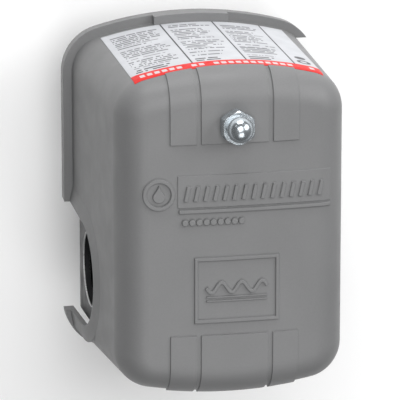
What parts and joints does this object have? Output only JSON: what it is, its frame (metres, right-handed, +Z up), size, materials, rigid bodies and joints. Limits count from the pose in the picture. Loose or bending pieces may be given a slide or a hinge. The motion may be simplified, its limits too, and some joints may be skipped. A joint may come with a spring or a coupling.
{
  "type": "pressure switch",
  "caption": "Pump pressure switch with a domed grey cover, a top cap nut, side conduit entries and a threaded pressure port underneath.",
  "frame": {"origin": "centre of the pressure port's mouth, on the port's axis", "axes": "+Z up the port's axis towards the cover nut's side, -Y towards the label end, conduit entries open along +X and -X"},
  "size_m": [0.0745, 0.1015, 0.1004],
  "materials": {
    "cover_plastic": "fine matte moulded grey",
    "label_film": "satin printed film",
    "bright_steel": "bright plated",
    "plated_steel": "dull zinc plated",
    "dark_steel": "dark plated, satin",
    "die_casting": "as-cast matte",
    "rubber": "matte",
    "spring_steel": "drawn wire",
    "black_moulding": "matte phenolic",
    "brass": "satin",
    "copper": "satin",
    "silver": "satin",
    "green_steel": "passivated green"
  },
  "bodies": {
    "base": {"base_frame": "dark_steel", "ground_screws": "green_steel", "pressure_connector": "die_casting", "diaphragm": "rubber", "guide_plate": "die_casting", "flange_screws": "plated_steel", "lever_pin": "plated_steel", "range_stud": "plated_steel", "diff_stud": "plated_steel", "terminal_block": "black_moulding", "block_screws": "plated_steel", "terminal_straps": "brass", "fixed_contacts": "silver", "clamp_plates": "plated_steel", "terminal_screws": "plated_steel", "carrier_pin": "plated_steel", "range_spring": "spring_steel", "diff_spring": "spring_steel", "snap_spring": "spring_steel"},
    "cover": {"cover": "cover_plastic", "label": "label_film"},
    "cover_nut": {"acorn_nut": "bright_steel"},
    "lever": {"lever": "plated_steel"},
    "piston": {"piston": "plated_steel"},
    "range_adjuster": {"range_seat": "plated_steel"},
    "range_nut": {"range_nut": "plated_steel"},
    "diff_adjuster": {"diff_seat": "plated_steel"},
    "diff_nut": {"diff_nut": "plated_steel"},
    "contact_carrier": {"contact_carrier": "black_moulding", "contact_bridges": "copper", "moving_contacts": "silver", "contact_springs": "spring_steel"}
  },
  "joints": [
    {"name": "cover_lift", "type": "slide", "parent": "base", "child": "cover", "axis": [0, 0, 1], "range_m": [0, 0.075]},
    {"name": "cover_nut_turn", "type": "hinge", "parent": "cover", "child": "cover_nut", "pos_m": [0, -0.032, 0.0955], "axis": [0, 0, 1], "continuous": true},
    {"name": "lever_tilt", "type": "hinge", "parent": "base", "child": "lever", "pos_m": [0, 0.012, 0.0345], "axis": [-1, 0, 0], "range_deg": [0, 6], "stiffness_Nm_per_rad": 0.5, "springref_deg": -5.73, "deforming": ["range_spring", "diff_spring"]},
    {"name": "piston_lift", "type": "slide", "parent": "base", "child": "piston", "axis": [0, 0, 1], "range_m": [0, 0.0013]},
    {"name": "contact_lift", "type": "hinge", "parent": "base", "child": "contact_carrier", "pos_m": [0, 0.022, 0.037], "axis": [1, 0, 0], "range_deg": [0, 9.1], "deforming": ["snap_spring"]},
    {"name": "range_adjust", "type": "slide", "parent": "base", "child": "range_adjuster", "axis": [0, 0, 1], "range_m": [-0.00254, 0.00254], "deforming": ["range_spring"]},
    {"name": "range_nut_turn", "type": "hinge", "parent": "range_adjuster", "child": "range_nut", "pos_m": [0, -0.032, 0.0703], "axis": [0, 0, 1], "range_deg": [-720.5, 720.5]},
    {"name": "diff_adjust", "type": "slide", "parent": "base", "child": "diff_adjuster", "axis": [0, 0, 1], "range_m": [-0.0014, 0.0014], "deforming": ["diff_spring"]},
    {"name": "diff_nut_turn", "type": "hinge", "parent": "diff_adjuster", "child": "diff_nut", "pos_m": [0, -0.014, 0.0572], "axis": [0, 0, 1], "range_deg": [-720.5, 720.5]}
  ],
  "couplings": [
    {"joint": "piston_lift", "follows": "lever_tilt", "m_per_rad": 0.012},
    {"joint": "contact_lift", "follows": "lever_tilt", "ratio": 1.5},
    {"joint": "range_nut_turn", "follows": "range_adjust", "rad_per_m": 4947.4},
    {"joint": "diff_nut_turn", "follows": "diff_adjust", "rad_per_m": 8976}
  ]
}
